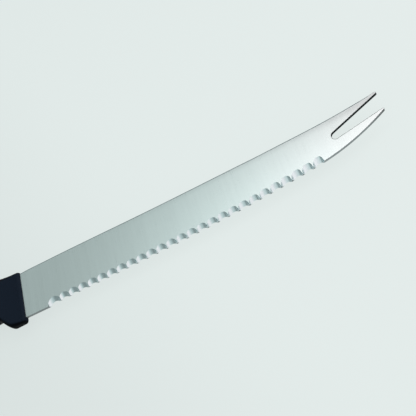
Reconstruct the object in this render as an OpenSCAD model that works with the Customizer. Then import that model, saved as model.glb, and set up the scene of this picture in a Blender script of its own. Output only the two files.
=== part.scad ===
// Tomato knife: a stamped steel blade with a scalloped edge and a forked tip. Its tang is held inside
// a moulded handle with a finger guard, two soft grip pads and a hole to hang it by. The knife lies on
// its side: X runs along the blade to the tip, Y towards the spine and Z up, and the floor is at Z = 0.

/* [Blade] */
// Length of the blade, from the handle's front to the tips of the fork
blade_len = 143.2; // [125:0.1:180]
// Thickness of the steel sheet
sheet_t = 1.2; // [0.8:0.1:2]
// Depth of the plain heel, from the spine to its lower edge
heel_depth = 17.8; // [16:0.1:18.6]
// Length of the plain heel, from the handle's front to the first scallop
heel_len = 9.9; // [5:0.1:16]
// Depth of the tooth tips below the spine, next to the heel
edge_depth = 17.1; // [15.5:0.1:18]
// How far the tooth tips have climbed towards the spine at the last tooth
edge_climb = 4.1; // [2:0.1:6]
// How far the spine lifts at the tip
spine_lift = 2.3; // [0:0.1:4]
// Length of the stretch over which the spine lifts
spine_lift_len = 40; // [20:1:60]

/* [Scallops] */
// Number of ground scallops
scallop_count = 27; // [10:1:27]
// Distance from one tooth to the next
scallop_pitch = 4; // [3:0.05:4.2]
// Radius of the hollow that the grinding wheel leaves
scallop_r = 2.05; // [1.8:0.05:4]
// Height of a scallop on the side of the blade, above the tooth tips
scallop_rise = 2.7; // [2.4:0.1:5]
// Depth of the notch between two teeth
scallop_notch = 0.7; // [0.4:0.05:1.4]
// Sloped step from the plain heel to the first scallop
heel_step = 1.4; // [0.4:0.1:2]

/* [Fork] */
// Distance from the fork's tips back to the centre of the slot's round end
fork_len = 17.3; // [12:0.1:22]
// Radius of the slot's round end
fork_root_r = 1.5; // [1:0.05:2]
// Depth of the slot's round end below the spine
fork_root_depth = 6; // [5.5:0.1:7]
// Depth of the lower tine's tip below the spine
lower_tip_depth = 5; // [4.5:0.1:7]
// How far the lower tine's outer side bulges beyond a straight line
lower_tine_bulge = 1.1; // [0:0.05:1.5]
// Radius of the tines' tips
tine_tip_r = 0.35; // [0.2:0.05:0.6]

/* [Tang] */
// How far the blade's full depth reaches into the handle
shoulder_len = 5; // [3:0.1:7]
// Length of the tang, from the handle's front to its end
tang_len = 92; // [60:1:96]
// Depth of the tang's upper side below the spine
tang_drop = 3.2; // [2:0.1:5]
// Height of the tang
tang_h = 9; // [7:0.1:10]
// Radius of the shoulders' outer corners
shoulder_round = 1; // [0.5:0.1:2]
// Radius of the corners at the tang's end
tang_round = 2; // [1:0.1:3]
// Radius of the holes that lock the tang in the handle
lock_hole_r = 2.3; // [1.5:0.1:2.8]
// Number of locking holes
lock_hole_count = 3; // [1:1:4]
// Distance from the handle's front to the first locking hole
lock_hole_start = 22; // [14:1:30]
// Distance from one locking hole to the next
lock_hole_pitch = 28; // [10:1:30]

/* [Handle] */
// Length of the handle
handle_len = 112; // [105:1:140]
// Thickness of the handle, across its flat sides
handle_t = 12; // [11:0.1:16]
// Thickness of the handle just behind its rounded nose
front_t = 3.2; // [2.8:0.1:5]
// Wall of plastic beside the blade, where it enters the handle
lip_w = 0.3; // [0.3:0.05:0.6]
// Length of the rounded nose
nose_len = 1.3; // [0.8:0.1:2]
// Distance over which the nose thickens to the full handle
flare_len = 24; // [20:1:30]
// Width of the narrow flat along the handle's back and belly
ridge_w = 1.2; // [0.6:0.1:2]
// Height of the handle's front above the spine
front_top = 1; // [0.9:0.05:2]
// How far the nose draws in at its upper end
nose_top_round = 0.6; // [0.3:0.05:0.65]
// How far the nose draws in at its lower end
nose_low_round = 1.3; // [0.3:0.1:1.5]
// Distance from the handle's front to where its back starts to rise
front_level = 3; // [1.5:0.1:5]
// Height of the neck above the spine
neck_top = 2.1; // [1.2:0.1:4]
// Distance from the finger guard's slope to the neck's highest point
neck_back = 4; // [2:0.1:8]
// Height of the palm swell above the spine
palm_top = 3.4; // [1.5:0.1:6]
// Height of the waist above the spine
waist_top = 1.4; // [0:0.1:4]
// Height of the butt above the spine
butt_top = 2.6; // [1:0.1:5]
// Depth of the neck behind the finger guard
neck_depth = 14.8; // [14.5:0.1:16]
// Depth of the palm swell below the spine
palm_depth = 18.9; // [16:0.1:24]
// Depth of the waist below the spine
waist_depth = 16.8; // [15:0.1:20]
// Depth of the butt's hook below the spine
hook_depth = 22.4; // [18:0.1:26]
// Distance from the handle's front to the palm swell
palm_at = 56; // [45:1:66]
// Distance from the handle's butt to the waist
waist_back = 24; // [20:1:30]
// Distance from the handle's butt to the deepest point of the hook
hook_back = 5; // [3:0.5:8]
// Length of the rounding at the butt
butt_round = 8; // [6:0.5:10]

/* [Finger guard] */
// Depth of the guard below the spine
guard_depth = 19.65; // [19.4:0.05:24]
// Length of the guard's flat underside
guard_len = 5.2; // [5:0.1:7]
// Length of the slope behind the guard
guard_slope = 6.7; // [5:0.1:9]

/* [Grip pads] */
// Distance from the handle's front to the grip pads
pad_start = 19; // [16:1:30]
// Distance from the grip pads to the handle's butt
pad_end = 22; // [19:1:30]
// Width of the hard rim around each pad, measured on the side view
pad_rim = 3.6; // [3.2:0.1:5]
// Thickness of each pad at its middle
pad_t = 2.4; // [1.5:0.1:2.6]
// Length of the pads' rounded ends
pad_round = 12; // [6:1:18]

/* [Hanging hole] */
// Radius of the hanging hole
hang_r = 3; // [2.5:0.1:3.5]
// Distance from the handle's butt to the centre of the hole
hang_back = 10; // [9:0.5:13]
// Chamfer at both ends of the hole
hang_chamfer = 0.8; // [0.3:0.1:1.2]

/* [Fits] */
// Gap that the moulded plastic leaves around the tang
mould_gap = 0.05; // [0.02:0.01:0.1]
// Gap between each pad and the rim around it
pad_gap = 0.1; // [0.05:0.01:0.2]

/* [Hidden] */
$fn = 48;
cut = 1;
steps_corner = 5;
steps_body = 9;
steps_curve = 12;
least_round = 0.2;

// Tooth tips: a line that climbs slowly at first and faster near the tip
scallop_first = heel_len + heel_step + scallop_pitch / 2;
teeth_end = scallop_first + scallop_pitch * (scallop_count - 0.5);
climb_power = 3;
function tip_line(x) =
    -edge_depth + edge_climb * pow(max(0, x - heel_len) / (teeth_end - heel_len), climb_power);
scallop_tilt = atan(sheet_t / (scallop_rise - scallop_notch));

// Spine: straight, then lifted ever faster towards the tip
spine_power = 2.5;
function spine_line(x) =
    spine_lift * pow(max(0, x - blade_len + spine_lift_len) / spine_lift_len, spine_power);
spine_end_angle = atan(spine_power * spine_lift / spine_lift_len);

// Fork: centres of its round slot end and of its two tips, and the slopes of the slot's two sides
fork_root = [blade_len - fork_len, -fork_root_depth];
upper_tip = [blade_len - tine_tip_r, spine_line(blade_len - tine_tip_r) - tine_tip_r];
lower_tip = [blade_len - tine_tip_r, -lower_tip_depth];
function slope_between(a, b) = atan2(b[1] - a[1], b[0] - a[0]);
function cross_angle(a, b) = asin((fork_root_r + tine_tip_r) / norm(b - a));
upper_slope = slope_between(fork_root, upper_tip) - cross_angle(fork_root, upper_tip);
lower_slope = slope_between(fork_root, lower_tip) + cross_angle(fork_root, lower_tip);
tine_start = [teeth_end, tip_line(teeth_end)];
lower_end_angle = atan2(
    lower_tip[1] - tine_start[1] + 4 * lower_tine_bulge, lower_tip[0] - tine_start[0]);

// Handle: distances s are measured back from its front
half_t = handle_t / 2;
waist_at = handle_len - waist_back;
hook_at = handle_len - hook_back;
guard_end = guard_len + guard_slope;
neck_at = guard_end + neck_back;

// Points of an arc around c from angle a to angle b
function arc(c, r, a, b, n = steps_curve) =
    [for (i = [0:n]) c + r * [cos(a + (b - a) * i / n), sin(a + (b - a) * i / n)]];

// A smooth curve through knots [s, value], level at each knot
function ease(t) = t * t * (3 - 2 * t);
function between(a, b, s) = a[1] + (b[1] - a[1]) * ease((s - a[0]) / (b[0] - a[0]));
function through(knots, s, i = 0) =
    s <= knots[0][0] ? knots[0][1]
    : i >= len(knots) - 1 ? knots[len(knots) - 1][1]
    : s <= knots[i + 1][0] ? between(knots[i], knots[i + 1], s)
    : through(knots, s, i + 1);

top_knots = [[front_level, front_top], [neck_at, neck_top], [palm_at, palm_top],
    [waist_at, waist_top], [hook_at, butt_top]];
bottom_knots = [[guard_len, guard_depth], [guard_end, neck_depth], [palm_at, palm_depth],
    [waist_at, waist_depth], [hook_at, hook_depth]];

// The nose: a round end, cut off where the blade leaves it with a lip on each side
function nose_turn(s) = 1 - pow(max(0, 1 - s / nose_len), 2);
function nose_inset(s) = 1 - sqrt(max(0, nose_turn(s)));
lip_half = sheet_t / 2 + mould_gap + lip_w;
front_half = front_t / 2;
function nose_half(s) =
    sqrt(lip_half * lip_half + (front_half * front_half - lip_half * lip_half) * nose_turn(s));

// The flare from the nose to the full thickness: a cubic that starts at a share of the mean slope
// and ends level
flare_start = 0.7;
function flare_rise(t) = flare_start * t + (3 - 2 * flare_start) * t * t + (flare_start - 2) * t * t * t;
function flare(s) =
    (half_t - front_half) * flare_rise(min(1, max(0, s - nose_len) / (flare_len - nose_len)));

// Rounding of the butt: how far the outline draws in at s
function butt_turn(s) = max(0, s - handle_len + butt_round) / butt_round;
function butt_inset(s) = 1 - sqrt(max(0, 1 - pow(butt_turn(s), 2)));
butt_inset_y = butt_round;
butt_inset_z = half_t - ridge_w;

function handle_top(s) =
    through(top_knots, s) - nose_top_round * nose_inset(s) - butt_inset_y * butt_inset(s);
function handle_bottom(s) =
    -through(bottom_knots, s) + nose_low_round * nose_inset(s) + butt_inset_y * butt_inset(s);
function handle_half(s) = nose_half(s) + flare(s) - butt_inset_z * butt_inset(s);

// Where the rings stand, the handle's highest and lowest points and the middle of the knife's outline
function even_steps(a, b, n) = [for (i = [1:n]) a + (b - a) * i / n];
stations = concat(
    [for (i = [0:steps_corner]) nose_len * (1 - cos(90 * i / steps_corner))],
    even_steps(nose_len, guard_end, steps_curve),
    even_steps(guard_end, flare_len, steps_corner),
    even_steps(flare_len, palm_at, steps_body),
    even_steps(palm_at, handle_len - butt_round, steps_body),
    [for (i = [1:steps_curve]) handle_len - butt_round * (1 - sin(90 * i / steps_curve))]
);
handle_high = max([for (s = stations) handle_top(s)]);
handle_low = min([for (s = stations) handle_bottom(s)]);
centre_x = (blade_len - handle_len) / 2;
centre_y = (max(handle_high, spine_line(blade_len)) + handle_low) / 2;

// Moves a shape from the knife's own axes, at the spine beside the handle, to the middle of its outline
module placed() {
    translate([-centre_x, -centre_y, half_t])
        children();
}

// One ring of the handle: a rectangle with round corners
function ring(s) =
    let (hi = handle_top(s), lo = handle_bottom(s), w = handle_half(s), r = max(least_round, w - ridge_w / 2))
    [for (k = [0:3])
        for (i = [0:steps_corner])
            let (a = 90 * k + 90 * i / steps_corner)
            [-s,
                (k == 0 || k == 3 ? hi - r : lo + r) + r * cos(a),
                (k < 2 ? w - r : r - w) + r * sin(a)]];

// The handle's outer shape, a skin stretched over the rings
module handle_shape() {
    n = 4 * (steps_corner + 1);
    m = len(stations);
    points = [for (s = stations) for (p = ring(s)) p];
    sides = [for (j = [0:m - 2]) for (i = [0:n - 1])
        let (a = j * n + i, b = j * n + (i + 1) % n)
        for (f = [[a, b, b + n], [a, b + n, a + n]]) f];
    front = [for (i = [0:n - 1]) n - 1 - i];
    back = [for (i = [0:n - 1]) (m - 1) * n + i];
    polyhedron(points, concat([front], sides, [back]), convexity = 6);
}

// Outline of the hidden part of the blank, grown by g: from the heel's edge round the tang to the spine
function tang_back(g) =
    let (shoulder_x = -shoulder_len - g,
        end_x = -tang_len - g,
        top = -tang_drop + g,
        low = -tang_drop - tang_h - g)
    concat(
        arc([shoulder_x, -heel_depth - g] + shoulder_round * [1, 1], shoulder_round, -90, -180, steps_corner),
        [[shoulder_x, low]],
        arc([end_x, low] + tang_round * [1, 1], tang_round, -90, -180, steps_corner),
        arc([end_x, top] + tang_round * [1, -1], tang_round, 180, 90, steps_corner),
        [[shoulder_x, top]],
        arc([shoulder_x, g] + shoulder_round * [1, -1], shoulder_round, 180, 90, steps_corner));

tine_end = lower_tip + tine_tip_r * [cos(lower_end_angle - 90), sin(lower_end_angle - 90)];
lower_tine = [for (i = [1:steps_curve - 1])
    let (t = i / steps_curve)
    tine_start + (tine_end - tine_start) * t - [0, lower_tine_bulge * 4 * t * (1 - t)]];

blade_outline = concat(
    [[heel_len, -heel_depth]],
    [for (i = [0:steps_curve * 2])
        let (x = heel_len + heel_step + (teeth_end - heel_len - heel_step) * i / (steps_curve * 2))
        [x, tip_line(x)]],
    lower_tine,
    arc(lower_tip, tine_tip_r, lower_end_angle - 90, lower_slope + 90, steps_corner),
    arc(fork_root, fork_root_r, lower_slope - 90, upper_slope - 270),
    arc(upper_tip, tine_tip_r, upper_slope - 90, spine_end_angle + 90, steps_corner),
    [for (i = [1:steps_curve])
        let (x = upper_tip[0] - (upper_tip[0] - blade_len + spine_lift_len) * i / steps_curve)
        [x, spine_line(x)]]
);

function reversed(list) = [for (i = [len(list) - 1:-1:0]) list[i]];

// Places of the locking holes along the tang
module at_lock_holes() {
    for (i = [0:lock_hole_count - 1])
        translate([-lock_hole_start - lock_hole_pitch * i, -tang_drop - tang_h / 2, 0])
            children();
}

// One ground hollow, a tilted cylinder that takes the edge away from the upper side of the sheet
module scallop_cut(x) {
    length = scallop_rise + 4 * scallop_r;
    translate([x, tip_line(x) + scallop_rise, sheet_t / 2])
        rotate([scallop_tilt - 90, 0, 0])
            translate([0, -scallop_r, -length])
                cylinder(h = length + scallop_r, r = scallop_r);
}

module blade() {
    color([0.78, 0.82, 0.81])
        placed()
            difference() {
                translate([0, 0, -sheet_t / 2])
                    linear_extrude(sheet_t)
                        polygon(concat(blade_outline, reversed(tang_back(0))));
                for (i = [0:scallop_count - 1])
                    scallop_cut(scallop_first + scallop_pitch * i);
                at_lock_holes()
                    cylinder(h = sheet_t + 2 * cut, r = lock_hole_r, center = true);
            }
}

// The room that the blank takes inside the handle, with the plastic that fills its locking holes
// left standing
module tang_room() {
    room_t = sheet_t + 2 * mould_gap;
    difference() {
        translate([0, 0, -room_t / 2])
            linear_extrude(room_t)
                polygon(concat(
                    [[cut, mould_gap], [cut, -heel_depth - mould_gap]],
                    tang_back(mould_gap)));
        at_lock_holes()
            cylinder(h = room_t + 2 * cut, r = lock_hole_r - mould_gap, center = true);
    }
}

// Outline of a grip pad, shrunk by g: it follows the handle's own outline and has round ends
pad_stop = handle_len - pad_end;
function pad_shrink(s) =
    let (a = min(s - pad_start, pad_stop - s) / pad_round)
    a >= 1 ? 1 : sqrt(max(0, 1 - pow(1 - a, 2)));
function pad_mid(s) = (handle_top(s) + handle_bottom(s)) / 2;
function pad_reach(s, g) = ((handle_top(s) - handle_bottom(s)) / 2 - pad_rim) * pad_shrink(s) - g;
pad_stations = concat(
    [for (i = [1:steps_body]) pad_start + pad_round * (1 - cos(90 * i / steps_body))],
    even_steps(pad_start + pad_round, pad_stop - pad_round, steps_curve),
    [for (i = [1:steps_body - 1]) pad_stop - pad_round + pad_round * sin(90 * i / steps_body)]
);

module pad_outline(g) {
    polygon(concat(
        [[-pad_start - g, pad_mid(pad_start)]],
        [for (s = pad_stations) [-s, pad_mid(s) - pad_reach(s, g)]],
        [[-pad_stop + g, pad_mid(pad_stop)]],
        [for (i = [len(pad_stations) - 1:-1:0])
            let (s = pad_stations[i])
            [-s, pad_mid(s) + pad_reach(s, g)]]
    ));
}

pad_floor = half_t - pad_t;

module pad_solid(g) {
    translate([0, 0, pad_floor])
        linear_extrude(pad_t + cut)
            pad_outline(g);
}

module grip_pad() {
    intersection() {
        handle_shape();
        pad_solid(pad_gap);
    }
}

module hang_hole() {
    translate([-handle_len + hang_back, pad_mid(handle_len - hang_back), 0]) {
        cylinder(h = handle_t + 2 * cut, r = hang_r, center = true);
        for (side = [-1, 1])
            translate([0, 0, side * (half_t - hang_chamfer / 2)])
                cylinder(
                    h = hang_chamfer,
                    r1 = side > 0 ? hang_r : hang_r + hang_chamfer,
                    r2 = side > 0 ? hang_r + hang_chamfer : hang_r,
                    center = true);
    }
}

module handle_body() {
    color([0.10, 0.13, 0.17])
        placed()
            difference() {
                handle_shape();
                tang_room();
                pad_solid(0);
                mirror([0, 0, 1])
                    pad_solid(0);
                hang_hole();
            }
}

module grip_pad_upper() {
    color([0.13, 0.15, 0.18])
        placed()
            grip_pad();
}

module grip_pad_lower() {
    color([0.13, 0.15, 0.18])
        placed()
            mirror([0, 0, 1])
                grip_pad();
}

blade();
handle_body();
grip_pad_upper();
grip_pad_lower();
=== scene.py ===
"""Looks of the tomato knife: the scalloped blade, the moulded handle, its two grip pads and the stage.

The file is laid out as an add-on and run as a script. Lengths are in metres. The shape functions use the
knife's own axes: X from the handle's front to the tip, Y towards the spine, and Z up from the middle of
the sheet. On the handle, s is the distance back from its front, which is minus X.
"""

import math
from types import SimpleNamespace

import bmesh
import bpy
import numpy as np
from bpy.props import FloatProperty, FloatVectorProperty, IntProperty, PointerProperty
from bpy.types import Operator, Panel, PropertyGroup
from mathutils import Matrix, Vector


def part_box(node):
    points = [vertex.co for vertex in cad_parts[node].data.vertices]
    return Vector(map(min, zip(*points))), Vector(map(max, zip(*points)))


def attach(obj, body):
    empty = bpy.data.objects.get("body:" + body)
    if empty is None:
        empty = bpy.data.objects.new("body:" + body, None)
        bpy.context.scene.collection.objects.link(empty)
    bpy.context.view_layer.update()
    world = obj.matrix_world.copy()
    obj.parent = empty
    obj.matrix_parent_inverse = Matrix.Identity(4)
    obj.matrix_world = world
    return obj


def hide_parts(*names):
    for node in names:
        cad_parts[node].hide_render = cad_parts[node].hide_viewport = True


bl_info = {
    "name": "Tomato Knife",
    "version": (1, 0, 0),
    "blender": (4, 5, 0),
    "location": "View3D > Sidebar > Tomato Knife",
    "description": "Builds the blade, handle, grip pads and stage of a tomato knife around its CAD frame",
    "category": "Object",
}

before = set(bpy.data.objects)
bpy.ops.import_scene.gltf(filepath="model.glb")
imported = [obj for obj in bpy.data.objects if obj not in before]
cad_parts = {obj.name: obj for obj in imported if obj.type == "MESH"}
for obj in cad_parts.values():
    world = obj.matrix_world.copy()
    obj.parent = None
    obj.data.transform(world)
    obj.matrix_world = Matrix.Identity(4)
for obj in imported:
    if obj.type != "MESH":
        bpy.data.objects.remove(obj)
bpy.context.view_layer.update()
BLADE_LOW, BLADE_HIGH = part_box("blade")
MM = 0.001
MERGE = 1e-6  # points that lie closer than this become one
CREASE_ANGLE = math.radians(28)  # edges that turn further than this stay sharp


def length(name, millimetres, description):
    """A length property whose default is given in millimetres."""
    return FloatProperty(name=name, default=millimetres * MM, description=description,
                         unit="LENGTH", precision=5, min=0.0)


def number(name, default, description):
    """A plain number property."""
    return FloatProperty(name=name, default=default, description=description)


def colour(name, default, description):
    """A colour property, in linear light."""
    return FloatVectorProperty(name=name, default=default, description=description,
                               subtype="COLOR", min=0.0, max=1.0)


def place(name, default, description):
    """A point in the row frame."""
    return FloatVectorProperty(name=name, default=default, description=description,
                               subtype="TRANSLATION", unit="LENGTH", precision=5)


class BladeSettings(PropertyGroup):
    """Sizes and colours of the blade and of the tang hidden in the handle."""

    length: length("Length", 143.2, "From the handle's front to the tips of the fork")
    sheet: length("Sheet", 1.2, "Thickness of the steel sheet")
    heel_depth: length("Heel depth", 17.8, "Depth of the plain heel below the spine")
    heel_length: length("Heel length", 9.9, "Length of the plain heel in front of the handle")
    edge_depth: length("Edge depth", 17.1, "Depth of the tooth tips next to the heel")
    edge_climb: length("Edge climb", 4.1, "How far the tooth tips climb towards the spine")
    spine_lift: length("Spine lift", 2.3, "How far the spine lifts at the tip")
    spine_lift_length: length("Lift length", 40, "Length over which the spine lifts")
    scallops: IntProperty(name="Scallops", default=27, min=1, description="Number of ground scallops")
    scallop_pitch: length("Scallop pitch", 4, "Distance from one tooth to the next")
    scallop_radius: length("Scallop radius", 2.05, "Radius of the grinding wheel's hollow")
    scallop_rise: length("Scallop rise", 2.7, "Height of a scallop above the tooth tips")
    scallop_notch: length("Scallop notch", 0.7, "Depth of the notch between two teeth")
    heel_step: length("Heel step", 1.4, "Slope from the heel to the first scallop")
    fork_length: length("Fork length", 17.3, "From the tips back to the slot's round end")
    slot_radius: length("Slot radius", 1.5, "Radius of the slot's round end")
    slot_depth: length("Slot depth", 6, "Depth of the slot's round end below the spine")
    lower_tip_depth: length("Lower tip depth", 5, "Depth of the lower tine's tip")
    lower_tine_bulge: length("Lower tine bulge", 1.1, "Bulge of the lower tine's outer side")
    tip_radius: length("Tip radius", 0.35, "Radius of the tines' tips")
    shoulder_length: length("Shoulder", 5, "How far the full depth reaches into the handle")
    shoulder_round: length("Shoulder round", 1, "Radius of the shoulders' corners")
    tang_length: length("Tang length", 92, "From the handle's front to the tang's end")
    tang_drop: length("Tang drop", 3.2, "Depth of the tang's upper side")
    tang_height: length("Tang height", 9, "Height of the tang")
    tang_round: length("Tang round", 2, "Radius of the corners at the tang's end")
    cut_round: length("Cut round", 0.07, "Rounding of the stamped edges")
    slot_round: length("Slot round", 0.2, "Rounding of the slot's lower side")
    spine_round: length("Spine round", 0.42, "Rounding of the polished spine")
    steel: colour("Steel", (0.67, 0.71, 0.705), "Colour of the brushed steel")
    ground: colour("Ground steel", (0.625, 0.71, 0.725), "Colour of the ground scallops")
    # The stamped edges' colour is partly their own matt tone and partly painted shade.
    stamped: colour("Stamped edge", (0.42, 0.45, 0.46), "Colour of the blank's stamped edges")
    # Painted shade: the spine edge's dark colour stands in for the dark line along the back.
    spine: colour("Spine", (0.20, 0.25, 0.265), "Colour of the blank's dull back edge")
    # Painted shade: the slot wall's near-black colour stands in for the shade inside the fork's slot.
    slot: colour("Slot wall", (0.012, 0.016, 0.018), "Colour of the dark wall inside the fork's slot")


class HandleSettings(PropertyGroup):
    """Sizes and colours of the moulded handle, its grip pads and its hanging hole."""

    length: length("Length", 112, "Length of the handle")
    thickness: length("Thickness", 12, "Thickness across the flat sides")
    front_thickness: length("Front thickness", 3.2, "Thickness just behind the rounded nose")
    fit: length("Fit", 0.05, "Gap that the plastic leaves around the tang")
    lip: length("Lip", 0.3, "Wall of plastic beside the blade")
    nose: length("Nose", 1.3, "Length of the rounded nose")
    flare: length("Flare", 24, "Distance over which the nose thickens to the full handle")
    flare_start: number("Flare start", 0.7, "Slope at the nose as a share of the mean slope")
    ridge: length("Ridge", 1.2, "Width of the narrow flat along back and belly")
    least_round: length("Least round", 0.2, "Smallest corner radius of a section")
    front_level: length("Front level", 3, "Where the back starts to rise")
    front_top: length("Front top", 1, "Height of the front above the spine")
    nose_top: length("Nose top", 0.6, "How far the nose draws in at its upper end")
    nose_low: length("Nose low", 1.3, "How far the nose draws in at its lower end")
    neck_top: length("Neck top", 2.1, "Height of the neck above the spine")
    neck_back: length("Neck back", 4, "From the guard's slope to the neck's highest point")
    palm_top: length("Palm top", 3.4, "Height of the palm swell above the spine")
    waist_top: length("Waist top", 1.4, "Height of the waist above the spine")
    butt_top: length("Butt top", 2.6, "Height of the butt above the spine")
    guard_depth: length("Guard depth", 19.65, "Depth of the finger guard below the spine")
    guard_length: length("Guard length", 5.2, "Length of the guard's flat underside")
    guard_slope: length("Guard slope", 6.7, "Length of the slope behind the guard")
    neck_depth: length("Neck depth", 14.8, "Depth of the neck behind the guard")
    palm_depth: length("Palm depth", 18.9, "Depth of the palm swell")
    waist_depth: length("Waist depth", 16.8, "Depth of the waist")
    hook_depth: length("Hook depth", 22.4, "Depth of the butt's hook")
    palm_at: length("Palm at", 56, "From the front to the palm swell")
    waist_back: length("Waist back", 24, "From the butt to the waist")
    hook_back: length("Hook back", 5, "From the butt to the hook's deepest point")
    butt_round: length("Butt round", 8, "Length of the rounding at the butt")
    pad_start: length("Pad start", 19, "From the front to the grip pads")
    pad_end: length("Pad end", 22, "From the grip pads to the butt")
    pad_rim: length("Pad rim", 3.6, "Width of the hard rim around each pad")
    pad_thickness: length("Pad thickness", 2.4, "Thickness of each pad")
    pad_ends: length("Pad ends", 12, "Length of the pads' rounded ends")
    pad_gap: length("Pad gap", 0.1, "Gap between each pad and its rim")
    rim_round: length("Rim round", 0.25, "Rounding of the rim around the pads and the hole")
    pad_edge: length("Pad edge", 0.4, "Rounding of the pads' own edge")
    dot_pitch: length("Dot pitch", 1.9, "Distance from one raised dot to the next")
    dot_radius: length("Dot radius", 0.62, "Radius of a raised dot")
    dot_height: length("Dot height", 0.2, "Height of a raised dot")
    hole_radius: length("Hole radius", 3, "Radius of the hanging hole")
    hole_back: length("Hole back", 10, "From the butt to the hole's centre")
    hole_chamfer: length("Hole chamfer", 0.8, "Chamfer at both ends of the hole")
    plastic: colour("Plastic", (0.0068, 0.0115, 0.0205), "Colour of the hard navy plastic")
    rubber: colour("Soft grip", (0.0090, 0.0125, 0.0185), "Colour of the soft grip")


class StageSettings(PropertyGroup):
    """Floor, light and camera."""

    floor_colour: colour("Floor", (0.765, 0.83, 0.816), "Colour of the pale floor")
    floor_size: length("Floor size", 6000, "Side of the floor")
    floor_glow: number("Floor glow", 0.9, "Share of the floor's own colour that the camera sees unshaded")
    roof_height: length("Roof height", 240, "Height of the light tent's roof")
    roof_size: length("Roof size", 1000, "Side of the roof")
    roof_light: number("Roof light", 1.0, "Strength of the roof's light")
    sky_light: number("Sky light", 1.0, "Strength of the light from all round")
    camera_place: place("Camera", (0.11826, -0.12006, 0.20332), "Place of the camera")
    camera_aim: place("Aim", (0.06171, -0.00051, 0.0066), "Point in the middle of the picture")
    camera_roll: FloatProperty(name="Roll", default=math.radians(-47.352), subtype="ANGLE",
                               description="Turn of the camera about its own axis")
    lens: number("Lens", 60.58, "Focal length in millimetres on a 36 mm sensor")


def settings():
    """The scene's three groups of settings."""
    scene = bpy.context.scene
    return scene.knife_blade, scene.knife_handle, scene.knife_stage


# Meshes


class Skin:
    """Grids of points that are joined into one closed mesh."""

    def __init__(self):
        self.points, self.faces, self.marks, self.count = [], [], [], 0

    def add(self, grid, marks=0, keep=True, closed=False):
        """Adds a grid of shape (columns, rows, 3). Each cell becomes a face; marks give its material and
        keep drops the cells where it is false. With closed, the last row joins the first."""
        columns, rows = grid.shape[:2]
        index = np.arange(columns * rows).reshape(columns, rows) + self.count
        if closed:
            index = np.concatenate([index, index[:, :1]], axis=1)
        cells = np.stack([index[:-1, :-1], index[1:, :-1], index[1:, 1:], index[:-1, 1:]], axis=-1)
        marks, keep = np.broadcast_to(marks, cells.shape[:2]), np.broadcast_to(keep, cells.shape[:2])
        self.points.append(grid.reshape(-1, 3))
        self.faces.append(cells[keep])
        self.marks.append(marks[keep])
        self.count += columns * rows

    def add_both_sides(self, grid):
        """Adds a grid and its mirror image below the middle of the sheet."""
        self.add(grid)
        self.add(grid * (1, 1, -1))

    def build(self, name, origin):
        """Joins the grids, drops empty faces and turns every face outwards."""
        mesh = bpy.data.meshes.new(name)
        faces = np.concatenate(self.faces)
        mesh.from_pydata(np.concatenate(self.points) + origin, [], faces.tolist())
        mesh.polygons.foreach_set("material_index", np.concatenate(self.marks).astype(np.int32))
        work = bmesh.new()
        work.from_mesh(mesh)
        bmesh.ops.remove_doubles(work, verts=work.verts, dist=MERGE)
        bmesh.ops.dissolve_degenerate(work, edges=work.edges, dist=MERGE / 10)
        bmesh.ops.recalc_face_normals(work, faces=work.faces)
        work.to_mesh(mesh)
        work.free()
        mesh.polygons.foreach_set("use_smooth", np.ones(len(mesh.polygons), bool))
        mesh.set_sharp_from_angle(angle=CREASE_ANGLE)
        piece = bpy.data.objects.new(name, mesh)
        bpy.context.scene.collection.objects.link(piece)
        return piece


def finish_piece(piece, node, materials):
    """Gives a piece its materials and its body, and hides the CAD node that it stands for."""
    for material in materials:
        piece.data.materials.append(material)
    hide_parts(node)
    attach(piece, "root")


# Outlines: rows of x, y and the normal that points out of the steel


def arc(centre, radius, start, end, count, out=1):
    """Arc: the centre plus the radius times the cosine and sine of even angles, in degrees."""
    angle = np.radians(np.linspace(start, end, count))
    ray = np.stack([np.cos(angle), np.sin(angle)], axis=1)
    return np.concatenate([np.asarray(centre) + radius * ray, out * ray], axis=1)


def line(start, end, count, side):
    """Straight line, with its normal to the left for side 1 and to the right for side -1."""
    points = np.linspace(start, end, count)
    along = (points[-1] - points[0]) / np.linalg.norm(points[-1] - points[0])
    normal = side * np.array([-along[1], along[0]])
    return np.concatenate([points, np.broadcast_to(normal, points.shape)], axis=1)


def curve(x, y, side):
    """Curve through points, with its normals at right angles to the slope between neighbours."""
    along = np.stack([np.gradient(x), np.gradient(y)], axis=1)
    along /= np.linalg.norm(along, axis=1, keepdims=True)
    return np.stack([x, y, -side * along[:, 1], side * along[:, 0]], axis=1)


def joined(*parts):
    """Outlines end to end, each part without its first point, which the one before it ends with."""
    return np.concatenate([parts[0]] + [p[1:] for p in parts[1:]])


def towards(angle):
    """Unit vector at an angle in degrees."""
    return np.array([math.cos(math.radians(angle)), math.sin(math.radians(angle))])


def slope(a, b):
    """Angle of the line from a to b in degrees."""
    return math.degrees(math.atan2(b[1] - a[1], b[0] - a[0]))


def quarter(count):
    """Even angles of a quarter turn."""
    return np.linspace(0, math.pi / 2, count)


def between(a, b, shares):
    """Straight rows of points from a to b at these shares of the way."""
    return a[:, None] + (b - a)[:, None] * shares[None, :, None]


def smooth_knots(s, knots):
    """Curve through knots (place, value), level at each: the value plus the next step times t squared
    times 3 - 2 t."""
    places, values = np.array(knots).T
    i = np.clip(np.searchsorted(places, s) - 1, 0, len(places) - 2)
    t = np.clip((s - places[i]) / (places[i + 1] - places[i]), 0, 1)
    return values[i] + (values[i + 1] - values[i]) * t * t * (3 - 2 * t)


# Blade

SPINE_POWER = 2.5

# Places along X and the spine's height there above its straight line: it sags between handle and fork
SPINE_SAG = np.array([(-4, 0), (-1, 0.25), (4, 0.45), (16, 0.46), (62, 0.08), (96, 0.2), (112, 0.4),
                      (134, 0.29), (142.8, 0)]) * MM

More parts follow.
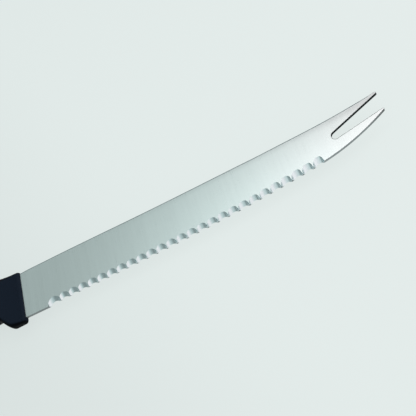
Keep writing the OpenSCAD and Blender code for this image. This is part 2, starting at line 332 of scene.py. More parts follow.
# How the grinding changes from the first scallop to the last: the first one's shift towards the handle,
# what the rise gains at these shares of the way, how far the deepest line leans towards the handle, width
# and depth as shares of the wheel's, and power of the outline
HEEL_SHIFT = 0.3 * MM
RISE_PLACES = (0.0, 0.75, 1.0)
RISE_CHANGE = (-0.4 * MM, -0.45 * MM, 0.0)
LEAN_CHANGE = (0.5 * MM, -0.5 * MM)
WIDTH_CHANGE = (1.14, 0.96)
DEPTH_CHANGE = (0.75, 1.0)
POWER_CHANGE = (1.8, 2.7)


def spine_y(k, x):
    """Spine: the sag, then the lift times a power of the share of the lifting stretch."""
    share = np.maximum(0, x - k.length + k.spine_lift_length) / k.spine_lift_length
    return k.spine_lift * share**SPINE_POWER + smooth_knots(x, SPINE_SAG)


def teeth(k):
    """Centres of the scallops, which the grinding moved towards the handle by a shift that fades out
    along the edge, and the place where the last tooth ends."""
    first = k.heel_length + k.heel_step + k.scallop_pitch / 2
    centres = first + k.scallop_pitch * np.arange(k.scallops) - np.linspace(HEEL_SHIFT, 0, k.scallops)
    return centres, centres[-1] + k.scallop_pitch / 2


def tooth_y(k, x):
    """Tooth tips: the edge depth, less the climb times the cube of the share of the toothed length."""
    share = np.maximum(0, x - k.heel_length) / (teeth(k)[1] - k.heel_length)
    return -k.edge_depth + k.edge_climb * share**3


def fork(k):
    """Centres of the slot's end and of the tips, the slopes of the slot's sides, which are tangents that
    cross between two circles, the spine's slope at the tip, and the start, end and end slope of the lower
    tine's outer side."""
    tip_x = k.length - k.tip_radius
    root = np.array([k.length - k.fork_length, -k.slot_depth])
    upper = np.array([tip_x, spine_y(k, tip_x) - k.tip_radius])
    lower = np.array([tip_x, -k.lower_tip_depth])

    def cross(tip):
        return math.degrees(math.asin((k.slot_radius + k.tip_radius) / np.linalg.norm(tip - root)))

    start_x = teeth(k)[1]
    start = np.array([start_x, tooth_y(k, start_x)])
    end_slope = slope(start, lower + (0, 4 * k.lower_tine_bulge))
    return SimpleNamespace(
        root=root, upper=upper, lower=lower,
        upper_slope=slope(root, upper) - cross(upper), lower_slope=slope(root, lower) + cross(lower),
        spine_slope=math.degrees(math.atan(SPINE_POWER * k.spine_lift / k.spine_lift_length)),
        tine_start=start, tine_end=lower + k.tip_radius * towards(end_slope - 90), tine_slope=end_slope)


def blank_y(k, x):
    """Lower side of the blank in front of the heel: the step, the tooth tips, then a line to the lower
    tip less four bulges times t times 1 - t."""
    f = fork(k)
    step_end = k.heel_length + k.heel_step
    step = -k.heel_depth + (x - k.heel_length) / k.heel_step * (tooth_y(k, step_end) + k.heel_depth)
    t = (x - f.tine_start[0]) / (f.tine_end[0] - f.tine_start[0])
    tine = (f.tine_start[1] + (f.tine_end[1] - f.tine_start[1]) * t
            - 4 * k.lower_tine_bulge * t * (1 - t))
    return np.where(x < step_end, step, np.where(t < 0, tooth_y(k, x), tine))


def ground_edge(k, x):
    """Where the scallops leave the steel at x: the height of its lower end, the level of the upper side
    there, and the height of the scallop's rim. A scallop is a hollow tilted by the angle whose tangent
    is the sheet over rise less notch. Each side of its deepest line, which leans off the centre, is a
    quarter of a rounded oblong: at a share t of its width it lies w deep, its depth times 1 less the root
    of 1 less t to a power, with that power's own root, and w over the tilt's sine moves its rim down the
    blade. The first one is stretched towards the handle, so that it runs out at the heel's corner."""
    centres = teeth(k)[0]
    way = (x - centres[0]) / (centres[-1] - centres[0])
    rise = k.scallop_rise + np.interp(way, RISE_PLACES, RISE_CHANGE)
    tilt = np.arctan(k.sheet / (rise - k.scallop_notch))
    lean, width, depth, power = (np.linspace(*change, k.scallops)[None, :]
                                 for change in (LEAN_CHANGE, WIDTH_CHANGE, DEPTH_CHANGE, POWER_CHANGE))
    d = x[:, None] - centres[None, :] + lean
    reach = k.scallop_radius * width + np.where(d < 0, -lean, lean)
    reach[:, 0] = np.where(d[:, 0] < 0, centres[0] - lean[0, 0] - k.heel_length, reach[:, 0])
    t = np.minimum(np.abs(d) / reach, 1)
    w = k.scallop_radius * depth * (1 - (1 - t**power) ** (1 / power))
    rims = tooth_y(k, centres)[None, :] + rise[:, None] - w / np.sin(tilt)[:, None]
    rim = np.where(t < 1, rims, -1.0).max(axis=1)
    low = np.maximum(blank_y(k, x), rim - (rise - k.scallop_notch))
    level = k.sheet / 2 - np.maximum(0, rim - low) * np.tan(tilt)
    return low, level, np.maximum(low, rim)


# The blade's materials in the order of its list
STEEL, GROUND, STAMPED, SLOT, SPINE = range(5)

# Points along a corner's arc, the tang's end, its shoulders, the tang's or heel's side, the step, the
# plain edge behind the last tooth and a tine, then steps round an edge, across a scallop and over which a
# rounding grows, and the rows of a face
ARC_POINTS, END_POINTS, SHOULDER_POINTS, SIDE_POINTS = 10, 3, 4, 24
STEP_POINTS, PLAIN_POINTS, TINE_POINTS = 15, 8, 40
ROUND_STEPS, SCALLOP_STEPS, BLEND_STEPS = 5, 18, 12
FACE_ROWS = np.array([0.02, 0.12, 0.5, 0.88, 0.98])

# Places past the last tooth where its ground side ends, as shares of the pitch
RUN_OUT = np.linspace(0, 0.06, 4)

# Lengths over which the spine's rounding grows behind the shoulder and shrinks before the tip
SPINE_GROWS, SPINE_SHRINKS = 5 * MM, 6 * MM


def rounded_rim(path, radius, half, upwards):
    """Rim of the sheet along a path: a quarter circle from the lower face to the wall and another from
    the wall to the upper face. Each point lies radius times 1 - cosine inside the path."""
    angle = quarter(ROUND_STEPS + 1)
    inset = radius[:, None] * (1 - np.cos(angle))
    level = half - radius[:, None] * (1 - np.sin(angle))
    flat = path[:, None, :2] - inset[..., None] * path[:, None, 2:]
    top = np.concatenate([flat, level[..., None]], axis=2)
    low = (top * (1, 1, -1))[:, ::-1]
    both = np.concatenate([low, top], axis=1)
    return both if upwards else both[:, ::-1]


def half_blade(k, skin, inner, outer, slot_from, slot_round, outer_radius, ground=None):
    """One half of the sheet: rings that run up the inner rim, over the upper face, down the outer rim and
    back along the lower face. Before the slot, the inner rim is the seam to the other half and has no
    wall. Along the slot its rounding grows from the cut's to slot_round and back. ground gives the columns
    with scallops, whose outer rim is the ground hollow, and outer_radius each column's outer rounding."""
    half = k.sheet / 2
    column = np.arange(len(inner))
    grown = np.clip(np.minimum(column - slot_from, len(inner) - 1 - column) / BLEND_STEPS, 0, 1)
    inner_radius = np.where(column >= slot_from, k.cut_round + (slot_round - k.cut_round) * grown, 0)
    inner_rim = rounded_rim(inner, inner_radius, half, True)
    outer_rim = rounded_rim(outer, outer_radius, half, False)
    rim_rows = 2 * (ROUND_STEPS + 1)
    outer_from = rim_rows + len(FACE_ROWS)
    marks = np.full((len(inner) - 1, 2 * outer_from), STEEL)
    marks[:, 0:rim_rows - 1] = SLOT
    marks[:, outer_from:outer_from + rim_rows - 1] = SPINE if ground is None else STAMPED
    if ground is not None:
        x = outer[ground, 0]
        low, level, rim = ground_edge(k, x)
        ends = [np.stack([x, y, z], axis=1) for y, z in
                ((rim, np.full_like(x, half)), (low, level), (low, np.full_like(x, -half)))]
        shares = np.linspace(0, 1, ROUND_STEPS + 1)
        outer_rim[ground] = np.concatenate([between(*ends[:2], shares), between(*ends[1:], shares)], axis=1)
        marks[ground[:-1], outer_from:outer_from + ROUND_STEPS] = GROUND
    upper = between(inner_rim[:, -1], outer_rim[:, 0], FACE_ROWS)
    lower = between(outer_rim[:, -1], inner_rim[:, 0], FACE_ROWS)
    keep = np.ones(marks.shape, bool)
    keep[:slot_from, 0:rim_rows - 1] = False
    skin.add(np.concatenate([inner_rim, upper, outer_rim, lower], axis=1), marks, keep, closed=True)


def blade_columns(k):
    """Places of the columns along the toothed edge, and where its ground side ends."""
    centres, end = teeth(k)
    across = np.linspace(-0.5, 0.5, SCALLOP_STEPS + 1)[:-1] * k.scallop_pitch
    toothed = (centres[:, None] + across[None, :]).ravel()
    step = np.linspace(k.heel_length, toothed[0], STEP_POINTS)[:-1]
    after = end + RUN_OUT * k.scallop_pitch
    return np.concatenate([step, toothed, after]), after[-1]


def make_blade(k):
    """The whole blank: an upper and a lower half-sheet that meet along a line through the slot's end,
    each ruled between that line, or the slot's wall, and its own outer side."""
    f = fork(k)
    seam = f.root[1]
    seam_end = f.root[0] - k.slot_radius - k.cut_round
    back, shoulder = -k.tang_length, -k.shoulder_length
    corner, inside = k.tang_round, k.shoulder_round
    edge_x, ground_end = blade_columns(k)
    plain_x = np.linspace(ground_end, seam_end, PLAIN_POINTS)
    heel = line((shoulder + inside, -k.heel_depth), (k.heel_length, -k.heel_depth), SIDE_POINTS, -1)
    blade_x = joined(heel[:, 0], edge_x, plain_x)
    seam_x = joined(
        np.linspace(back + k.cut_round, back + corner, END_POINTS + ARC_POINTS - 1),
        np.linspace(back + corner, shoulder - inside, SIDE_POINTS),
        np.linspace(shoulder - inside, shoulder + inside, SHOULDER_POINTS + ARC_POINTS - 1),
        blade_x,
    )[:-1]
    nothing = np.zeros_like(seam_x)
    seam_line = np.stack([seam_x, nothing + seam, nothing, nothing], axis=1)

    def tang_side(level, edge, turn):
        """Outer side from the tang's end round the shoulder: turn is 1 for the upper side."""
        stop = 180 - 90 * turn
        return joined(
            line((back, seam), (back, level - turn * corner), END_POINTS, turn),
            arc((back + corner, level - turn * corner), corner, 180, stop, ARC_POINTS),
            line((back + corner, level), (shoulder, level), SIDE_POINTS, turn),
            line((shoulder, level), (shoulder, edge - turn * inside), SHOULDER_POINTS, turn),
            arc((shoulder + inside, edge - turn * inside), inside, 180, stop, ARC_POINTS))

    def inner_side(tip, angle, meet, turn):
        """The seam, the slot's round end, its straight side, and the tip's inner part to meet."""
        wall = angle + 90 * turn
        bend = arc(f.root, k.slot_radius, 180, wall if turn > 0 else wall + 360, TINE_POINTS // 2, out=-1)
        leave = f.root + k.slot_radius * towards(wall)
        reach = tip + k.tip_radius * towards(angle - 90 * turn)
        slot = joined(bend, line(leave, reach, TINE_POINTS // 2 + 1, -turn),
                      arc(tip, k.tip_radius, angle - 90 * turn, meet, ARC_POINTS))
        return np.concatenate([seam_line, slot])

    skin = Skin()
    meet = (f.spine_slope + f.upper_slope) / 2
    tip_x = f.upper[0] + k.tip_radius * towards(f.spine_slope + 90)[0]
    tine_x = np.linspace(seam_end, tip_x, TINE_POINTS)
    outer = joined(tang_side(-k.tang_drop, 0, 1), *(curve(x, spine_y(k, x), 1) for x in (blade_x, tine_x)),
                   arc(f.upper, k.tip_radius, f.spine_slope + 90, meet, ARC_POINTS))
    rounder = (np.clip((outer[:, 0] - shoulder) / SPINE_GROWS, 0, 1)
               * np.clip((tip_x - outer[:, 0]) / SPINE_SHRINKS, 0, 1))
    half_blade(k, skin, inner_side(f.upper, f.upper_slope, meet, 1), outer, len(seam_line), k.cut_round,
               k.cut_round + (k.spine_round - k.cut_round) * rounder)

    meet = (f.tine_slope + f.lower_slope) / 2
    tine_x = np.linspace(seam_end, f.tine_end[0], TINE_POINTS)
    outer = joined(tang_side(-k.tang_drop - k.tang_height, -k.heel_depth, -1), heel,
                   *(curve(x, blank_y(k, x), -1) for x in (edge_x, plain_x, tine_x)),
                   arc(f.lower, k.tip_radius, f.tine_slope - 90, meet, ARC_POINTS))
    ground = np.flatnonzero((outer[:, 0] > k.heel_length) & (outer[:, 0] < ground_end))
    half_blade(k, skin, inner_side(f.lower, f.lower_slope, meet, -1), outer, len(seam_line), k.slot_round,
               np.full(len(outer), k.cut_round), ground)
    return skin


# Handle


def points(s, y, z):
    """Points in the knife's axes."""
    return np.stack(np.broadcast_arrays(-s, y, z), axis=-1)


def handle_section(h, sheet, s):
    """Top, bottom and half thickness of the handle at s. The nose draws in as a circle does, the flare
    is a cubic that starts at its share of the mean slope and ends level, and the butt draws in by
    1 less the root of 1 - u squared, u being the share of the rounding that is behind."""
    guard_end = h.guard_length + h.guard_slope
    places = h.palm_at, h.length - h.waist_back, h.length - h.hook_back
    top = smooth_knots(s, [(h.front_level, h.front_top), (guard_end + h.neck_back, h.neck_top),
                           *zip(places, (h.palm_top, h.waist_top, h.butt_top))])
    low = smooth_knots(s, [(h.guard_length, h.guard_depth), (guard_end, h.neck_depth),
                           *zip(places, (h.palm_depth, h.waist_depth, h.hook_depth))])
    turn = 1 - np.maximum(0, 1 - s / h.nose) ** 2
    drawn = 1 - np.sqrt(np.maximum(0, turn))
    lip, front = sheet / 2 + h.fit + h.lip, h.front_thickness / 2
    t = np.clip((s - h.nose) / (h.flare - h.nose), 0, 1)
    rise = h.flare_start * t + (3 - 2 * h.flare_start) * t**2 + (h.flare_start - 2) * t**3
    half = np.sqrt(lip**2 + (front**2 - lip**2) * turn) + (h.thickness / 2 - front) * rise
    behind = np.clip((s - h.length + h.butt_round) / h.butt_round, 0, 1)
    butt = 1 - np.sqrt(np.maximum(0, 1 - behind**2))
    return (top - h.nose_top * drawn - h.butt_round * butt,
            -low + h.nose_low * drawn + h.butt_round * butt,
            half - (h.thickness / 2 - h.ridge / 2) * butt)


def corner(h, half):
    """Radius of a section's round corners."""
    return np.maximum(h.least_round, half - h.ridge / 2)


def side_level(h, sheet, s, y):
    """Height of the handle's side above the middle at s and y: the half thickness, less what the round
    corner takes away near the back and the belly."""
    top, low, half = handle_section(h, sheet, s)
    r = corner(h, half)
    past = np.clip(np.maximum(y - (top - r), (low + r) - y), 0, r)
    return half - r + np.sqrt(np.maximum(0, r**2 - past**2))


def along_section(h, sheet, s, y, up):
    """Distance along the section from the middle of the ridge to the height y."""
    top, low, half = handle_section(h, sheet, s)
    r = corner(h, half)
    depth = (top - y) if up else (y - low)
    angle = np.arccos(np.clip(1 - depth / r, 0, 1))
    return half - r + r * angle + np.maximum(0, depth - r)


def section_point(h, sheet, s, way, up):
    """Point of the skin at s, a distance way along the section from the middle of the ridge: over the
    flat, round the quarter circle and down the side."""
    top, low, half = handle_section(h, sheet, s)
    r = corner(h, half)
    angle = np.clip((way - (half - r)) / r, 0, math.pi / 2)
    depth = r * (1 - np.cos(angle)) + np.maximum(0, way - (half - r) - r * math.pi / 2)
    z = np.minimum(way, half - r) + r * np.sin(angle)
    y = (top - depth) if up else (low + depth)
    return points(s, y, z)


def middle_y(h, sheet, s):
    """Line along the side on which its two halves meet: midway between back and belly, and level behind
    the grip pad, where it runs through the hanging hole's centre."""
    stop = h.length - h.pad_end
    hole_at = h.length - h.hole_back
    top, low, _ = handle_section(h, sheet, np.minimum(s, stop))
    ends = handle_section(h, sheet, np.array(hole_at))
    t = np.clip((s - stop) / (hole_at - stop) * 2, 0, 1)
    middle = (top + low) / 2
    return middle + ((ends[0] + ends[1]) / 2 - middle) * t * t * (3 - 2 * t)


# Steps round the pads' ends and half round the hole, points along the pads' sides, then points along
# nose, front, the stretch between pad and hole, and butt, across a section and round the rims' edges
PAD_TURN, HOLE_STEPS, PAD_STRAIGHT = 22, 32, 40
NOSE_POINTS, FRONT_POINTS, STRETCH_POINTS, BUTT_POINTS = 12, 48, 12, 20
SECTION_POINTS, RIM_POINTS = 27, 5

# Columns and rows of a pad's face, points round its edge and across its back, and how many times a
# place's distance from a pad's end counts as room for a dot
PAD_COLUMNS, PAD_ROWS, EDGE_POINTS, BACK_POINTS = 380, 73, 6, 5
END_ROOM = 1.5

# Distance from a pad's rim where the dots start, and the distance over which they reach their height
DOT_MARGIN, DOT_FADE = 0.6 * MM, 0.4 * MM

# Rings of the hanging hole, in roundings of its rim: how far inside its outer edge and how deep the first
# ones lie, and how far outside its wall and how deep below the chamfer the last ones
OUTER_RINGS = ((0, 0), (0.6, 0.08), (1.2, 0.45))
INNER_RINGS = ((0.5, 0), (0.125, 0.5), (0, 1))


def pad_outline(h, sheet, up, outside):
    """Half of a pad's outline, grown by outside along its normal: the middle plus or minus the reach,
    which is half the handle's height less the rim, times the sine of an angle at the round ends."""
    start, stop = h.pad_start, h.length - h.pad_end
    angle = quarter(PAD_TURN + 1)
    front = start + h.pad_ends * (1 - np.cos(angle))
    s = np.concatenate([front, np.linspace(front[-1], stop - h.pad_ends, PAD_STRAIGHT)[1:-1],
                        (start + stop - front)[::-1]])
    shrink = np.concatenate([np.sin(angle), np.ones(PAD_STRAIGHT - 2), np.sin(angle)[::-1]])
    top, low, _ = handle_section(h, sheet, s)
    reach = ((top - low) / 2 - h.pad_rim) * shrink
    sign = 1 if up else -1
    outline = curve(s, (top + low) / 2 + sign * reach, sign)
    outline[0, 2:], outline[-1, 2:] = (-1, 0), (1, 0)
    return (outline[:, :2] + outside * outline[:, 2:]).T


def hole_outline(h, sheet, up, radius):
    """Half of a circle round the hanging hole's centre."""
    angle = np.linspace(math.pi, 0, HOLE_STEPS + 1)
    at = h.length - h.hole_back
    y = middle_y(h, sheet, np.array(at)) + (1 if up else -1) * radius * np.sin(angle)
    return at + radius * np.cos(angle), y


def on_side(h, sheet, outline, depth):
    """Points of an outline, which is given as s and y, at a depth below the handle's side."""
    s, y = outline
    return points(s, y, side_level(h, sheet, s, y) - depth)


def handle_stations(h, hole_edge):
    """Places of the rings in front of the pad, between pad and hole, and behind the hole."""
    start, stop = h.pad_start - h.rim_round, h.length - h.pad_end + h.rim_round
    hole_at = h.length - h.hole_back
    nose = h.nose * (1 - np.cos(quarter(NOSE_POINTS)))
    front = joined(nose, np.linspace(h.nose, start, FRONT_POINTS))
    stretch = np.linspace(stop, hole_at - hole_edge, STRETCH_POINTS)
    butt = h.length - h.butt_round + h.butt_round * np.sin(quarter(BUTT_POINTS))
    behind = hole_at + hole_edge
    return front, stretch, np.concatenate([[behind], butt[butt > behind + MM / 10]])


def make_handle(h, k):
    """The moulded body: its skin from the ridge to the pads' and the hole's rims, the recesses under the
    pads, the hole's wall, the narrow end of the butt, and the pocket that takes blade and tang."""
    skin = Skin()
    sheet, rim = k.sheet, h.rim_round
    hole_edge = h.hole_radius + h.hole_chamfer + rim
    front, stretch, end = handle_stations(h, hole_edge)
    shares = np.linspace(0, 1, SECTION_POINTS)
    floor = h.thickness / 2 - h.pad_thickness
    pocket_y = (-k.heel_depth - h.fit, spine_y(k, 0) + h.fit)
    tang_y = (-k.tang_drop - k.tang_height - h.fit, -k.tang_drop + h.fit)
    shoulder_x, tang_x = (-k.shoulder_length - h.fit, 0, 0), (-k.tang_length - h.fit, 0, 0)
    rings = [(hole_edge - rim * inside, rim * deep) for inside, deep in OUTER_RINGS]
    rings += [(h.hole_radius + rim * outside, h.hole_chamfer + rim * deep) for outside, deep in INNER_RINGS]
    for up in (True, False):
        pad_s, pad_y = pad_outline(h, sheet, up, rim)
        hole_s, hole_y = hole_outline(h, sheet, up, hole_edge)
        s = np.concatenate([front[:-1], pad_s, stretch[1:-1], hole_s, end[1:]])
        y = np.concatenate([middle_y(h, sheet, front[:-1]), pad_y, middle_y(h, sheet, stretch[1:-1]),
                            hole_y, middle_y(h, sheet, end[1:])])
        way = along_section(h, sheet, s, y, up)[:, None] * shares[None, :]
        grid = section_point(h, sheet, s[:, None], way, up)
        skin.add_both_sides(grid)
        skin.add_both_sides(np.stack([grid[-1], grid[-1] * (1, 1, 0)]))

        rows = [on_side(h, sheet, pad_outline(h, sheet, up, rim * (1 - math.sin(a))), rim * (1 - math.cos(a)))
                for a in quarter(RIM_POINTS)]
        wall_s, wall_y = pad_outline(h, sheet, up, 0)
        rows += [points(wall_s, wall_y, floor), points(wall_s, middle_y(h, sheet, wall_s), floor)]
        skin.add_both_sides(np.stack(rows, axis=1))

        rows = [on_side(h, sheet, hole_outline(h, sheet, up, radius), depth) for radius, depth in rings]
        skin.add_both_sides(np.stack(rows + [rows[-1] * (1, 1, 0)], axis=1))

        slot = grid[0].copy()
        slot[:, 1] = np.clip(slot[:, 1], *pocket_y)
        slot[:, 2] = np.clip(slot[:, 2], 0, sheet / 2 + h.fit)
        tang = slot.copy()
        tang[:, 1] = np.clip(slot[:, 1], *tang_y)
        skin.add_both_sides(np.stack([
            grid[0], slot, slot * (0, 1, 1) + shoulder_x, tang * (0, 1, 1) + shoulder_x,
            tang * (0, 1, 1) + tang_x, tang * (0, 1, 0) + tang_x]))
    return skin


def raised_dots(h, s, y, room):
    """Height of the soft grip's dots: a triangular pattern of domes, each the dot's height times 1 less
    the squared distance over the squared radius. They fade out where there is little room to the rim."""
    row = h.dot_pitch * math.sqrt(3) / 2
    height = np.zeros_like(s)
    for shift in (0.0, 0.5):
        u = (s / h.dot_pitch + shift + 0.5) % 1 - 0.5
        v = (y / (2 * row) + shift + 0.5) % 1 - 0.5
        away = np.sqrt((u * h.dot_pitch) ** 2 + (v * 2 * row) ** 2) / h.dot_radius
        height = np.maximum(height, h.dot_height * np.clip(1 - away**2, 0, 1))
    return height * np.clip((room - DOT_MARGIN) / DOT_FADE, 0, 1)


def make_pad(h, sheet, side):
    """One grip pad: its outer face follows the handle's side, sunk by the height of the dots, with a
    rounded edge, a wall and a flat back on the recess's floor. side is 1 above and -1 below."""
    skin = Skin()
    flip = (1, 1, side)
    inset = -h.pad_gap - h.pad_edge

    def edge(up, outside):
        """Half of the pad's outline at PAD_COLUMNS places, as s and y."""
        outline = pad_outline(h, sheet, up, outside)
        index = np.arange(outline.shape[1])
        return [np.interp(np.linspace(0, index[-1], PAD_COLUMNS), index, values) for values in outline]

    shares = np.linspace(0, 1, PAD_ROWS)
    low_edge, up_edge = np.stack(edge(False, inset), axis=1), np.stack(edge(True, inset), axis=1)
    s, y = np.moveaxis(between(low_edge, up_edge, shares), -1, 0)
    ends = np.minimum(s - s[0, 0], s[-1, 0] - s)
    room = np.minimum(np.minimum(shares, 1 - shares) * (up_edge - low_edge)[:, 1:], ends * END_ROOM)
    level = side_level(h, sheet, s, y) - h.dot_height + raised_dots(h, s, y, room)
    skin.add(points(s, y, level) * flip)

    feet = []
    for up in (True, False):
        rows = [on_side(h, sheet, edge(up, inset + h.pad_edge * math.sin(a)),
                        h.dot_height + h.pad_edge * (1 - math.cos(a)))
                for a in quarter(EDGE_POINTS)]
        feet.append(rows[-1] * (1, 1, 0) + (0, 0, h.thickness / 2 - h.pad_thickness))
        skin.add(np.stack(rows + feet[-1:], axis=1) * flip)
    skin.add(between(*feet, np.linspace(0, 1, BACK_POINTS)) * flip)
    return skin


# Materials


class Wire:
    """A shader socket with arithmetic: each operator adds one Math node."""

    def __init__(self, finish, socket):
        self.finish, self.socket = finish, socket

    def maths(self, operation, *values):
        return self.finish.node("Math", {"operation": operation}, *values)

    def __add__(self, other):
        return self.maths("ADD", self, other)

    def __sub__(self, other):
        return self.maths("SUBTRACT", self, other)

    def __rsub__(self, other):
        return self.maths("SUBTRACT", other, self)

    def __mul__(self, other):
        return self.maths("MULTIPLY", self, other)

    def __pow__(self, other):
        return self.maths("POWER", self, other)

    __radd__, __rmul__ = __add__, __mul__

    def clamped(self):
        return self.finish.node("Clamp", {}, self, 0.0, 1.0)


class Finish:
    """Node builder for one material or world."""

    def __init__(self, owner):
        owner.use_nodes = True
        self.tree = owner.node_tree
        self.tree.nodes.clear()

    def put(self, socket, value):
        """Links a wire to a socket, or sets the socket to a number, colour or vector."""
        if isinstance(value, Wire):
            self.tree.links.new(value.socket, socket)
        elif hasattr(socket.default_value, "__len__") and len(socket.default_value) == 4 and len(value) == 3:
            socket.default_value = (*value, 1.0)
        else:
            socket.default_value = value

    def node(self, kind, options=None, *values, out=0, **named):
        """Adds a node: first its options, a ramp's stops among them, then its inputs in order or by name,
        with _ for a space. Returns the wire of one output, by number or name."""
        node = self.tree.nodes.new("ShaderNode" + kind)
        for key, value in (options or {}).items():
            if key == "stops":
                elements = node.color_ramp.elements
                while len(elements) < len(value):
                    elements.new(1.0)
                for element, (position, tone) in zip(elements, value):
                    element.position, element.color = position, (*tone, 1.0)
            else:
                setattr(node, key, value)
        for socket, value in zip(node.inputs, values):
            self.put(socket, value)
        for key, value in named.items():
            self.put(node.inputs[key.replace("_", " ")], value)
        return Wire(self, node.outputs[out]) if node.outputs else node

    def axis(self, name, space="Object"):
        """One axis of the coordinates."""
        return self.node("SeparateXYZ", {}, self.node("TexCoord", out=space), out=name)

    def noise(self, scale, detail=2.0, rough=0.5):
        """Noise from 0 to 1 around a half. scale is one number, or one for each axis."""
        scale = tuple(scale + np.zeros(3))
        here = self.node("TexCoord", out="Object")
        where = self.node("Mapping", {}, here, Scale=scale)
        return self.node("TexNoise", {}, where, Scale=1.0, Detail=detail, Roughness=rough)

    def rise(self, value, low, high):
        """Smooth step from 0 at low to 1 at high."""
        return self.node("MapRange", {"interpolation_type": "SMOOTHSTEP"}, value, low, high, 0.0, 1.0)

    def ramp(self, where, stops):
        """A colour that runs along these stops as a value goes from 0 to 1."""
        return self.node("ValToRGB", {"stops": stops}, where)

    def blend(self, share, first, second):
        """Mix of two colours."""
        node = self.tree.nodes.new("ShaderNodeMix")
        node.data_type = "RGBA"
        for socket, value in zip([i for i in node.inputs if i.enabled], (share, first, second)):
            self.put(socket, value)
        return Wire(self, next(socket for socket in node.outputs if socket.enabled))

    def tinted(self, tone, factor):
        """A colour times a varying factor."""
        return self.node("VectorMath", {"operation": "SCALE"}, Vector=tone, Scale=factor)

    def bump(self, height, distance, strength=1.0):
        """Normal from a height in units of the distance."""
        return self.node("Bump", {}, Height=height, Distance=distance, Strength=strength)

    def surface(self, **inputs):
        """Principled shader into the output."""
        self.node("OutputMaterial", {}, self.node("BsdfPrincipled", {}, **inputs))


def new_finish(name):
    """A new material and the builder of its nodes."""
    material = bpy.data.materials.new(name)
    return material, Finish(material)


# Where painted shade darkens the steel towards the spine, and where that fades in along X, in the row frame
SPINE_SHADE_ACROSS, SPINE_SHADE_ALONG = (6.0 * MM, 9.8 * MM), (0.0, 80 * MM)


def brushed_steel(k):
    """Stainless steel brushed across the blade: streaks that change fast along X and slowly along Y, and
    painted shade that darkens a strip under the spine's front half."""
    material, f = new_finish("brushed_steel")
    fine = f.noise((9000.0, 160.0, 160.0), detail=3.0, rough=0.6)
    streaks = f.noise((800.0, 14.0, 14.0))
    bands = f.noise((220.0, 9.0, 9.0))
    # Painted shade: a darker strip under the spine's front half.
    painted_shade = 1 - 0.16 * f.rise(f.axis("Y"), *SPINE_SHADE_ACROSS) ** 2 * f.rise(f.axis("X"), *SPINE_SHADE_ALONG)
    f.surface(
        Base_Color=f.tinted(k.steel, (0.88 + 0.10 * fine + 0.07 * streaks + 0.07 * bands) * painted_shade),
        Metallic=1.0,
        Roughness=0.22 + 0.10 * fine + 0.05 * streaks,
        Normal=f.bump(fine, 0.004 * MM),
    )
    return material


def ground_steel(k):
    """Wheel-ground steel, with fine marks that run out over the edge."""
    material, f = new_finish("ground_steel")
    marks = f.noise((16000.0, 900.0, 900.0), rough=0.6)
    f.surface(
        Base_Color=f.tinted(k.ground, 0.94 + 0.10 * marks),
        Metallic=1.0,
        Roughness=0.24 + 0.10 * marks,
        Normal=f.bump(marks, 0.002 * MM),
    )
    return material


# Places along X and the brightness of the stamped edge there, which is painted light and shade: brighter
# at the heel, a painted highlight on a stretch before the tips, dark at the tips
OUTER_EDGE_LIGHT_AND_SHADE = ((-0.016, 0.62), (-0.005, 0.66), (0.000, 0.50), (0.090, 0.50), (0.103, 0.85), (0.112, 0.72),
              (0.120, 0.75), (0.125, 0.45), (0.128, 0.28))
EVEN_EDGE_LEVEL = ((-0.016, 1.0), (0.128, 1.0))


def stamped_steel(name, tone, rough, painted_light_along_x):
    """Edge of the stamped blank: matt, with short drag marks through the thickness of the sheet.
    painted_light_along_x gives places along X and the edge's painted light and shade there."""
    material, f = new_finish(name)
    drag = f.noise((5000.0, 5000.0, 900.0), rough=0.6)
    first, last = painted_light_along_x[0][0], painted_light_along_x[-1][0]
    share = f.node("MapRange", {}, f.axis("X"), first, last, 0.0, 1.0)
    # Painted light and shade: a ramp along X sets how bright the edge is.
    painted_edge_light = f.ramp(share, [((at - first) / (last - first), (level,) * 3) for at, level in painted_light_along_x])
    f.surface(
        Base_Color=f.tinted(tone, (0.8 + 0.4 * drag) * painted_edge_light),
        Metallic=1.0,
        Roughness=rough + 0.15 * drag,
        Normal=f.bump(drag, 0.01 * MM),
    )
    return material


def navy_plastic(h):
    """Hard moulded plastic with the mould's fine spark-eroded grain, darkened by painted shade where it faces
    the belly or the back."""
    material, f = new_finish("navy_plastic")
    grain = f.noise(3200.0, detail=3.0, rough=0.55)
    cloud = f.noise(60.0)
    facing = f.node("SeparateXYZ", {}, f.node("NewGeometry", out="Normal"), out="Y")
    # Painted shade: darker where the normal faces the belly or the back.
    painted_shade_by_facing = (1 - 0.85 * f.rise(-1 * facing, 0.05, 0.65)) * (1 - 0.60 * f.rise(facing, 0.05, 0.50))
    f.surface(
        Base_Color=f.tinted(h.plastic, (0.8 + 0.25 * grain + 0.15 * cloud) * painted_shade_by_facing),
        Roughness=0.46 + 0.12 * grain + 0.06 * cloud,
        Specular_IOR_Level=0.04,
        Normal=f.bump(grain, 0.02 * MM, 0.6),
    )
    return material


def soft_grip(h):
    """Soft moulded rubber: duller than the plastic, with a powdery grain."""
    material, f = new_finish("soft_grip")
    powder = f.noise(5200.0, rough=0.6)
    f.surface(
        Base_Color=f.tinted(h.rubber, 0.8 + 0.25 * powder + 0.15 * f.noise(90.0)),
        Roughness=0.72 + 0.12 * powder,
        Specular_IOR_Level=0.2,
        Normal=f.bump(powder, 0.02 * MM, 0.5),
    )
    return material


# Stretch of X plus half of Y over which painted light brightens the floor
FLOOR_LIGHT_ACROSS = (-0.06, 0.06)


